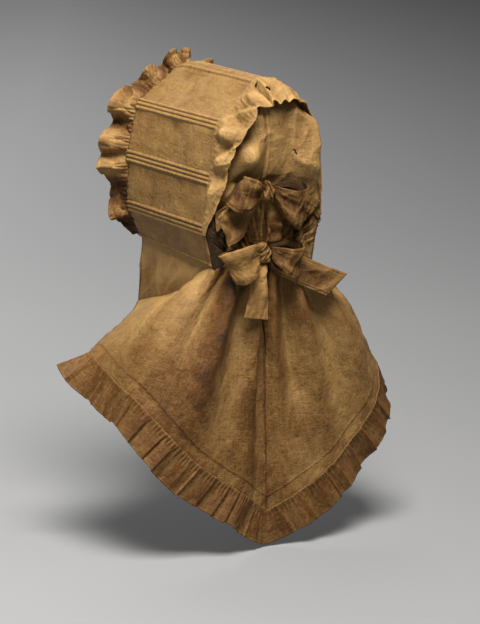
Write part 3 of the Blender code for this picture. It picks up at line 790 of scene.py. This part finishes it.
CAPE_FOLDS = (
    Fold(-5.0, 0.5, 5, 0.35),
    Fold(-4.0, 0.5, -5, 0.30),
    Fold(-3.0, 0.5, 6, 0.30),
    Fold(-2.1, 0.4, -6, 0.25),
    Fold(-1.2, 0.4, 6, 0.25),
    Fold(-0.4, 0.4, -5, 0.25),
    Fold(0.6, 0.4, 4, 0.25),
    Fold(1.4, 0.4, -7, 0.25),
    Fold(2.4, 0.5, 7, 0.28),
    Fold(3.5, 0.5, -8, 0.30),
    Fold(4.6, 0.5, 7, 0.32),
    Fold(5.8, 0.5, -3, 0.40),
)
CAPE_ENDS = 8
HEM_LINES = (4.5, 22)
HEM_ROLL = 1.6


def cape_plain(column, share):
    """The cape without its folds: column 0 is the centre back and 8 the wearer's left front edge."""
    rows = curve([list(fall) for fall in CAPE_FALLS], np.abs(column))
    stops = [rows[..., i : i + 3] for i in (0, 3, 6, 9)]
    point = hung(stops, share)
    middle = np.maximum(0, 1 - np.abs(column) / 2)
    shift = 2 * CAPE_FALLS[0].hem_x * share * middle**2
    point[..., 0] = np.where(column < 0, shift - point[..., 0], point[..., 0])
    return point


def cape_out(column, share):
    """The direction out of the cape."""
    down = cape_plain(column, np.minimum(1, share + 0.02)) - cape_plain(column, np.maximum(0, share - 0.02))
    after, before = np.minimum(CAPE_ENDS, column + 0.1), np.maximum(-CAPE_ENDS, column - 0.1)
    around = cape_plain(after, share) - cape_plain(before, share)
    return unit(np.cross(down, around))


def cape_push(column, share):
    """How far the long folds lift the cape."""
    push = 0 * column
    for fold in CAPE_FOLDS:
        strong = np.minimum(1, np.maximum(0, share - 0.04) / fold.top_share)
        strong = strong * (1 - 0.93 * np.maximum(0, share - 0.45) / 0.55)
        push = push + 1.75 * fold.high * strong * np.exp(-(((column - fold.column) / fold.spread) ** 2))
    return push


def cape_surface(column, share):
    """The cape with its long folds, before it is crushed."""
    return cape_plain(column, share) + cape_out(column, share) * cape_push(column, share)[..., None]


def run(points):
    """Distances along lines of points, from their first row."""
    steps = np.linalg.norm(np.diff(points, axis=0), axis=-1)
    return np.concatenate((0 * steps[:1], np.cumsum(steps, axis=0)))


hem_columns = np.linspace(-CAPE_ENDS, CAPE_ENDS, 641)
hem_lengths = run(cape_surface(hem_columns, np.ones(hem_columns.shape)))
falls = np.concatenate((np.linspace(0, 0.93, 112, endpoint=False), np.linspace(0.93, 1, 35)))
column, share = np.meshgrid(np.linspace(-CAPE_ENDS, CAPE_ENDS, 300), falls)
point = cape_surface(column, share)
out = cape_out(column, share)
along = np.interp(column, hem_columns, hem_lengths)
down = run(point)
from_hem = down[-1] - down
near_tie = np.exp(-down / 45)
relief = 3.2 * near_tie * (crease(column * 2.2, down / 200, 31, 0.8) - 0.3) * np.minimum(1, down / 8)
drape = crease(column * 0.9 + 0.3 * share, down / 160, 32, 0.8)
relief += 3.2 * drape * np.exp(-down / 170) * np.minimum(1, down / 20)
relief += 0.8 * swell(along / 45, down / 60, 33) + 0.35 * swell(along / 14, down / 18, 34)
relief += 0.9 * crease(along / 46 + down / 90, down / 50, 35)
relief += 0.5 * crease(along / 22, down / 24 - along / 60, 37)
facing = np.exp(-(((from_hem - 11) / 9) ** 2))
relief += 0.5 * facing * crease(along / 13 + from_hem / 60, from_hem / 40, 36)
relief += 1.1 * np.exp(-(((from_hem - HEM_ROLL) / 1.3) ** 2))
relief -= 0.6 * np.exp(-(((from_hem - HEM_LINES[1]) / 1.2) ** 2))
tucked = np.clip(1 - down / 12, 0, 1) * np.exp(-((np.abs(column) / 6.4) ** 10))
seam_column = 0.9 * (1 - share) ** 1.5
from_seam = (column - seam_column) * 24 * (0.15 + share)
relief -= 0.9 * np.exp(-((from_seam / 1.4) ** 2)) * np.minimum(1, down / 60)
point += out * (relief - 2.5 * tucked)[..., None]
point[..., 2] += 6 * tucked
threads = np.stack((along, run(cape_plain(column, share))), -1)
# Painted light and shade: tone that follows the long folds and the crushing, partly rubbed wear; a painted
# highlight down the fold at the wearer's left, paler round column -3, painted shade in the valleys near
# columns 4.3 and 1.6, and a painted shadow below the tie at the centre. The cape is also paler near the neck
# and a step darker overall; the rolled hem is paler, and the seam and the facing's stitch line are darker.
painted_light_and_wear = 0.09 * relief + 0.022 * cape_push(column, share) - 0.3
painted_light_and_wear += 0.35 * np.exp(-(((from_hem - HEM_ROLL) / 1.2) ** 2)) - 0.35 * np.exp(-((from_seam / 1.2) ** 2))
painted_light_and_wear -= 0.25 * np.exp(-(((from_hem - HEM_LINES[1]) / 0.9) ** 2))
painted_light_and_wear += 0.3 * np.exp(-down / 90) + 1.1 * np.exp(-(((column - 6.5) / 1.5) ** 2)) * (1 - share)
painted_light_and_wear += 0.12 * np.exp(-(((column + 3) / 1.4) ** 2)) - 0.9 * np.exp(-down / 30 - (column / 2.8) ** 2)
painted_light_and_wear -= 0.35 * np.exp(-(((column - 4.3) / 1.1) ** 2)) + 0.1 * np.exp(-(((column - 1.6) / 1.2) ** 2))
cape = sew("cape", point, threads, painted_light_and_wear)
CAPE_HEM = point[-1]
fasten(cape)
facing_lines = []
places = np.arange(point.shape[1])
for inset in HEM_LINES:
    row = np.argmin(np.abs(from_hem - inset), axis=0)
    facing_lines.append(point[row, places] + out[row, places] * (CLOTH / 2 + STITCH_LIFT))
stitch("cape_stitches", facing_lines)


# The cape ruffle is a single frill, gathered on a thread and sewn along both hems. Its pleats are pressed
# nearly flat, with sharp creases between them.

CAPE_FRILL = 44
PLEATS = 60
HEM_END = hem_lengths[-1]


def hem_frame(length, reach):
    """Where the hem is, and the directions across the frill and out of it."""
    lengths = [np.clip(length + step, 0, HEM_END) for step in (-reach, 0, reach)]
    columns = [np.interp(at, hem_lengths, hem_columns) for at in lengths]
    ends = [cape_surface(c, np.ones(c.shape)) for c in columns]
    along = unit(ends[2] - ends[0])
    out = cape_out(columns[1], np.ones(length.shape))
    out = unit(out - along * np.sum(out * along, -1, keepdims=True))
    down = unit(np.cross(along, out))
    hem = curve(CAPE_HEM, (columns[1] / CAPE_ENDS + 1) / 2 * (len(CAPE_HEM) - 1))
    return hem, down * np.where(down[..., 2:] > 0, -1, 1), out


length, share = np.meshgrid(np.linspace(0, HEM_END, 1150), np.linspace(0, 1, 27))
start, seam_down, _ = hem_frame(length, 2)
_, down, out = hem_frame(length, 24)
chance = np.random.default_rng(41)
PLEAT_STARTS = np.concatenate(([-20], -20 + np.cumsum(chance.uniform(11, 34, PLEATS))))
slant = length + 5 * (share - 0.4) * np.sin(length / 47)
pleat = np.clip(np.searchsorted(PLEAT_STARTS, slant) - 1, 0, PLEATS - 1)
within = (slant - PLEAT_STARTS[pleat]) / (PLEAT_STARTS[pleat + 1] - PLEAT_STARTS[pleat])
within = np.clip(np.where(pleat % 5 == 3, 1 - within, within), 0, 1)
pleat_high = chance.uniform(2.2, 5.2, PLEATS)[pleat]
knife = within**0.7 * (1 - np.clip((within - 0.88) / 0.12, 0, 1) ** 2)
pleats = pleat_high * (knife - 0.5) * np.clip(share * 3.5, 0, 1) ** 0.7
wave = 2.2 * np.sin(2 * math.pi * length / 61 + np.sin(length / 31)) * share
gathers = 1.3 * np.sin(2 * math.pi * length / 5.7 + 3 * swell(length / 17, share * 0.4, 42))
gathers *= np.exp(-share * 8) * np.minimum(1, share * 12)
crushed = 0.8 * crease(length / 17, share * 1.8, 43) * share
longer = CAPE_FRILL + chance.uniform(-2, 1.5, PLEATS)[pleat] + 1.5 * np.sin(length / 40)
relief = wave + pleats + gathers + crushed + 2.0 * share
tucked = np.clip(1 - share * 9, 0, 1)
point = start - seam_down * 3 * tucked[..., None] + down * (longer * share)[..., None]
point += out * (relief - 1.5 * tucked)[..., None]
threads = np.stack((length * 1.5, share * CAPE_FRILL), -1)
# Painted shade: each pressed pleat darker where it tucks under the one before and paler on its face, and
# tone that follows the gathers; a step darker overall, with a paler rubbed edge.
painted_light_and_wear = 0.35 * (knife - 0.75) * np.clip(share * 4, 0, 1) + 0.2 * gathers + 0.2 * (share > 0.96) - 0.4
cape_ruffle = sew("cape_ruffle", point, threads, painted_light_and_wear)
fasten(cape_ruffle)
stitch("cape_ruffle_stitches", on_cloth(point, (24,), CLOTH / 2 + STITCH_LIFT, out))


# The ties are cut from a darker, thinner piece of the same cotton. A tape runs round the crown from side
# to side, and each tie ends at the back in a bow: a knot, two loops and two tails.

RIBBON = 1.2
TAPE_WALL = 1.4
TAPE_WIDE = 20
TAPE_OFF = (CROWN_WALL + TAPE_WALL) / 2 + 1.6 * SEAM
TIE_COTTON = brown_cotton("tie_cotton", (0.040, 0.015, 0.0025), (0.225, 0.122, 0.039), 0.1)


def on_crown(x, z, spread):
    """How far back the crown reaches near this x and height."""
    found = []
    for dx, dz in ((0, 0), (spread, 0), (-spread, 0), (0, spread), (0, -spread)):
        hit = CROWN_SURFACE.ray_cast(Vector((x + dx, 100, z + dz)), Vector((0, -1, 0)))[0]
        if hit is not None:
            found.append(hit.y)
    return max(found)


x, across = np.meshgrid(np.linspace(-TIE_END_X, TIE_END_X, 120), np.linspace(-0.5, 0.5, 14))
z = tie_z(x) + across * (13 + 13 * (np.abs(x) / TIE_END_X) ** 2)
y = np.array([[on_crown(a, b, 5) for a, b in zip(*row)] for row in zip(x, z)])
relief = 0.5 * swell(x / 14, across * 2, 51) + 0.4 * crease(x / 20, across * 3, 52)
point = np.stack((x, y + TAPE_OFF + relief, z), -1)
threads = np.stack((x, across * TAPE_WIDE), -1)
# The tape's tone follows its wrinkles: partly rubbed wear, partly painted light and shade.
upper_tie = sew("upper_tie", point, threads, 0.3 * relief, RIBBON, TIE_COTTON)
fasten(upper_tie)


Knot = namedtuple("Knot", "name x y z half_x half_y half_z lean")
KNOTS = (
    Knot("upper_bow_knot", 10, 30.4, -148, 8.5, 8.5, 13, 0.2),
    Knot("lower_bow_knot", 18, 32.3, -229, 9, 10.6, 13, -0.8),
)
for knot in KNOTS:
    turn, tilt = np.meshgrid(np.linspace(0, 2 * math.pi, 97)[:-1], np.linspace(-1.5, 1.5, 60))
    flat = np.abs(np.cos(tilt)) ** 0.5
    x = knot.half_x * flat * np.sign(np.cos(turn)) * np.abs(np.cos(turn)) ** 0.7
    y = knot.half_y * flat * np.sign(np.sin(turn)) * np.abs(np.sin(turn)) ** 0.7
    z = knot.half_z * np.sign(tilt) * np.abs(np.sin(tilt)) ** 0.7
    wound = x * math.cos(knot.lean) - z * math.sin(knot.lean)
    folds = 2.2 * crease(wound / 4.2, z / 26, 61, 0.8) + 0.8 * swell(x / 5, z / 7, 62) - 0.8
    point = np.stack((x, y, z), -1) * (1 + (folds - 0.8)[..., None] / 14) + (knot.x, knot.y, knot.z)
    rows, wide = turn.shape
    corner = np.arange(rows * wide).reshape(rows, wide)
    low, high = corner[:-1], corner[1:]
    faces = np.stack((low, np.roll(low, -1, 1), np.roll(high, -1, 1), high), -1).reshape(-1, 4).tolist()
    faces += [tuple(reversed(corner[0].tolist())), tuple(corner[-1].tolist())]
    # The knot's tone follows its folds: partly rubbed wear, partly painted light and shade.
    made = cut(knot.name, point, faces, np.stack((wound, z), -1), 0.4 * folds, TIE_COTTON)
    wear(made)


Ply = namedtuple("Ply", "ax ay az bx by bz")
RIBBONS = {
    "upper_bow_loop_right": (
        Ply(0.8, 35, -142, 0.8, 35, -157),
        Ply(-8, 48, -145, -4, 48, -175),
        Ply(-23, 57, -148, -13, 55, -190),
        Ply(-36, 55, -146, -22, 53, -199),
        Ply(-42, 47, -142, -28, 46, -198),
        Ply(-36, 37, -138, -24, 38, -188),
        Ply(-20, 32, -138, -12, 33, -170),
        Ply(0.8, 31, -141, 0.8, 31, -156),
    ),
    "upper_bow_loop_left": (
        Ply(19.2, 35, -141, 19.2, 35, -156),
        Ply(29, 46, -134, 38, 46, -164),
        Ply(37, 51, -129, 54, 52, -169),
        Ply(46, 48, -125, 70, 50, -167),
        Ply(51, 40, -124, 79, 41, -157),
        Ply(47, 34, -127, 72, 35, -154),
        Ply(36, 31, -133, 50, 31.5, -157),
        Ply(19.3, 31, -142, 19.3, 31, -155),
    ),
    "upper_bow_tail_left": (
        Ply(18.7, 27, -145, 18.7, 27, -157),
        Ply(36, 26.5, -148, 32, 27.5, -180),
        Ply(60, 28, -158, 46, 32, -203),
        Ply(76, 34, -166, 60, 37, -210),
        Ply(90, 38, -174, 74, 40, -214),
    ),
    "upper_bow_tail_right": (
        Ply(0.8, 27, -145, 0.8, 27, -157),
        Ply(-20, 28.5, -150, -10, 30, -178),
        Ply(-46, 27, -163, -24, 32, -195),
        Ply(-70, 24, -178, -37, 31, -205),
    ),
    "lower_bow_loop_left": (
        Ply(27.1, 39, -221, 27.1, 39, -238),
        Ply(40, 49, -213, 36, 51, -247),
        Ply(58, 57, -213, 47, 59, -257),
        Ply(78, 53, -218, 59, 56, -263),
        Ply(90, 43, -223, 67, 46, -262),
        Ply(80, 35, -222, 61, 38, -255),
        Ply(56, 32, -220, 46, 34, -246),
        Ply(27.1, 34, -222, 27.1, 34, -236),
    ),
    "lower_bow_loop_right": (
        Ply(8.3, 40, -221, 8.3, 40, -238),
        Ply(-4, 50, -222, 2, 51, -248),
        Ply(-16, 56, -224, -8, 56, -258),
        Ply(-28, 54, -224, -18, 53, -264),
        Ply(-36, 46, -222, -26, 45, -263),
        Ply(-30, 38, -217, -22, 39, -254),
        Ply(-12, 34, -216, -6, 35, -246),
        Ply(8.3, 34, -221, 8.3, 34, -236),
    ),
    "lower_bow_tail_right": (
        Ply(8.6, 29.5, -226, 8.6, 29.5, -239),
        Ply(-12, 29, -230, 0, 33, -257),
        Ply(-38, 32, -238, -24, 38, -271),
        Ply(-72, 40, -254, -46, 43, -282),
        Ply(-104, 46, -268, -69, 50, -293),
    ),
    "lower_bow_tail_centre": (
        Ply(24, 33, -242.9, 12, 33, -242.9),
        Ply(34, 39, -251, 15, 39, -251),
        Ply(44, 43, -263, 18.8, 43, -262),
        Ply(47, 44, -285, 18, 45, -285),
        Ply(54, 44, -309, 18.3, 45, -316),
    ),
}
# Painted light and shade on each ribbon as a whole: below zero darker, above zero paler.
RIBBON_LIGHT_AND_SHADE = {
    "upper_bow_loop_left": -0.35,
    "upper_bow_loop_right": -0.4,
    "upper_bow_tail_right": -0.15,
    "lower_bow_loop_left": 0.2,
    "lower_bow_loop_right": -0.35,
    "lower_bow_tail_centre": 0.55,
    "lower_bow_tail_right": -0.25,
}
for seed, (name, plies) in enumerate(RIBBONS.items()):
    last = len(plies) - 1
    at, across = np.meshgrid(np.linspace(0, last, 24 * last), np.linspace(0, 1, 36), indexing="ij")
    edges = curve([list(ply) for ply in plies], at)
    point = edges[..., :3] + (edges[..., 3:] - edges[..., :3]) * across[..., None]
    from_knot = at if "tail" in name else np.minimum(at, last - at)
    free = np.clip(from_knot, 0, 1)
    pleats = 1.6 * np.sin(3 * math.pi * across) * np.clip(at, 0, 1) * np.clip(last - at, 0, 1)
    pleats += 2.6 * crease(across * 4.5, at * 0.35, 70 + seed, 0.8) * np.exp(-from_knot * 0.9) * free
    crushed = 0.7 * swell(at * 1.6, across * 2.6, 80 + seed)
    crushed += 1.5 * crease(at * 0.6 + across, across * 1.2, 90 + seed)
    crushed += 0.4 * crease(at * 1.9, across * 2.6 + at * 0.4, 110 + seed)
    relief = crushed * free
    point += outward(point) * relief[..., None]
    point[..., 1] += pleats
    if name == "upper_bow_tail_right":
        for row in point[10:]:
            for p in row:
                p[1] = max(p[1], on_crown(p[0], p[2], 4) + 2 * TAPE_OFF)
    along = run(point).mean(1)
    wide = np.linalg.norm(point[:, -1] - point[:, 0], axis=-1)
    threads = np.stack((across * wide.max(), along[:, None] + 0 * across), -1)
    hem = np.minimum(across, 1 - across) * wide.max()
    # Tone that follows the crushing and pleats, partly rubbed wear and partly painted light and shade; a
    # paler rubbed edge and a dark hem stitch line.
    painted_light_and_wear = 0.14 * relief + 0.1 * pleats * free + RIBBON_LIGHT_AND_SHADE.get(name, 0)
    painted_light_and_wear += 0.2 * (hem < 1.5) - 0.35 * np.exp(-(((hem - 4) / 0.8) ** 2))
    # Painted shade on the inner ply inside each loop.
    if "loop" in name:
        painted_light_and_wear -= np.clip((at - last * 0.56) * 2, 0, 1)
    ribbon = sew(name, point, threads, painted_light_and_wear, RIBBON, TIE_COTTON)
    fasten(ribbon)
    facing_back = outward(point)
    facing_back *= np.where(facing_back[..., 1:2] < 0, -1, 1)
    if "tail" in name:
        lift = RIBBON / 2 + STITCH_LIFT
        hems = on_cloth(point.transpose(1, 0, 2), (5, 30), lift, facing_back.transpose(1, 0, 2))
        hems += on_cloth(point, (-7,), lift, facing_back)
        stitch(name + "_stitches", hems)


# The room: a wide pale floor that curves up into a round wall, soft light from above, and a long lens
# behind the wearer and to the wearer's left. Far from the bonnet the paper glows a little, since the lamps
# don't reach it.

AZIMUTH = math.radians(148)
ELEVATION = math.radians(12.6)
TARGET = Vector((-0.0003, 0.0122, -0.3221))
CAMERA_AWAY = 5.27
to_camera = Vector(
    (
        math.sin(AZIMUTH) * math.cos(ELEVATION),
        -math.cos(AZIMUTH) * math.cos(ELEVATION),
        math.sin(ELEVATION),
    )
)
image_right = Vector((math.cos(AZIMUTH), math.sin(AZIMUTH), 0))
level = Vector((math.sin(AZIMUTH), -math.cos(AZIMUTH), 0))
camera = bpy.data.cameras.new("camera")
camera.lens = 230
camera.sensor_width = 36
seen_from = bpy.data.objects.new("camera", camera)
seen_from.location = TARGET + to_camera * CAMERA_AWAY
seen_from.rotation_euler = to_camera.to_track_quat("Z", "Y").to_euler()
bpy.context.scene.collection.objects.link(seen_from)
bpy.context.scene.camera = seen_from

FLOOR_Z = -0.624
WALL_SIDES = 64
FLOOR_TO_WALL = ((9, 0), (10.2, 0.2), (11.2, 0.8), (11.8, 1.8), (12, 3), (12, 8))
turns = [2 * math.pi * i / WALL_SIDES for i in range(WALL_SIDES)]
ring_points = [
    (away * math.cos(turn), away * math.sin(turn), FLOOR_Z + up)
    for away, up in FLOOR_TO_WALL
    for turn in turns
]
room_faces = [list(range(WALL_SIDES))]
for ring in range(len(FLOOR_TO_WALL) - 1):
    first = ring * WALL_SIDES
    for i in range(WALL_SIDES):
        after = (i + 1) % WALL_SIDES
        room_faces.append((first + i, first + WALL_SIDES + i, first + WALL_SIDES + after, first + after))
room_mesh = bpy.data.meshes.new("floor")
room_mesh.from_pydata(ring_points, [], room_faces)
room_mesh.polygons.foreach_set("use_smooth", np.ones(len(room_faces), bool))
room = bpy.data.objects.new("floor", room_mesh)
bpy.context.scene.collection.objects.link(room)
paper = Dye("paper")
place = paper.add("ShaderNodeTexCoord", {}, {}, OBJECT_PLACE)
spot_x = paper.add("ShaderNodeSeparateXYZ", {}, {0: place})
spot_y = Wire(paper, spot_x.socket.node.outputs["Y"])
to_right = spot_x * image_right.x + spot_y * image_right.y
to_front = spot_x * level.x + spot_y * level.y
sideways = (to_right + 0.45).kept(0, 2)
behind = (0 - to_front).kept(0, 5)
# The paper's grey is painted darker to the right and further back: painted shade of the light falling off
# across the backdrop.
painted_falloff = sideways * (behind * -0.12 - 0.3)
shade = (behind.kept(0, 1.3) * 0.05 + 0.245) * painted_falloff.exponent()
grey = paper.add("ShaderNodeCombineColor", {}, {0: shade, 1: shade * 1.01, 2: shade * 1.03})
glow = ((to_front - 0.9) * 0.07).kept(0, 0.13) + ((to_right.size() - 2.1) * 0.07).kept(0, 0.13)
lit = paper.add("ShaderNodeCombineColor", {}, {0: glow, 1: glow, 2: glow})
paper.feed(paper.shader, {"Base Color": grey, "Roughness": 0.9})
paper.feed(paper.shader, {"Emission Color": lit, "Emission Strength": 1})
room_mesh.materials.append(paper.material)


def lamp(name, right, up, back, size, watts, colour=(1, 1, 1)):
    """A soft square lamp, placed as the camera sees it and turned towards the bonnet."""
    light = bpy.data.lights.new(name, "AREA")
    light.size = size
    light.energy = watts
    light.color = colour
    made = bpy.data.objects.new(name, light)
    made.location = TARGET + image_right * right + Vector((0, 0, up)) + level * back
    made.rotation_euler = (made.location - TARGET).to_track_quat("Z", "Y").to_euler()
    bpy.context.scene.collection.objects.link(made)
    return made


lamp("key", 0.1, 2.1, 1.1, 1.1, 153, (1, 0.98, 0.95))
lamp("side", -2.2, 0.9, 0.9, 1.2, 6)
backdrop = lamp("backdrop", -0.6, 2.6, -3.0, 2.4, 67)
backdrop.rotation_euler = (0, 0, 0)
world = bpy.data.worlds.new("studio")
bpy.context.scene.world = world
world.use_nodes = True
world.node_tree.nodes["Background"].inputs["Color"].default_value = (1, 0.94, 0.86, 1)
world.node_tree.nodes["Background"].inputs["Strength"].default_value = 0.11
bpy.context.scene.view_settings.view_transform = "Standard"
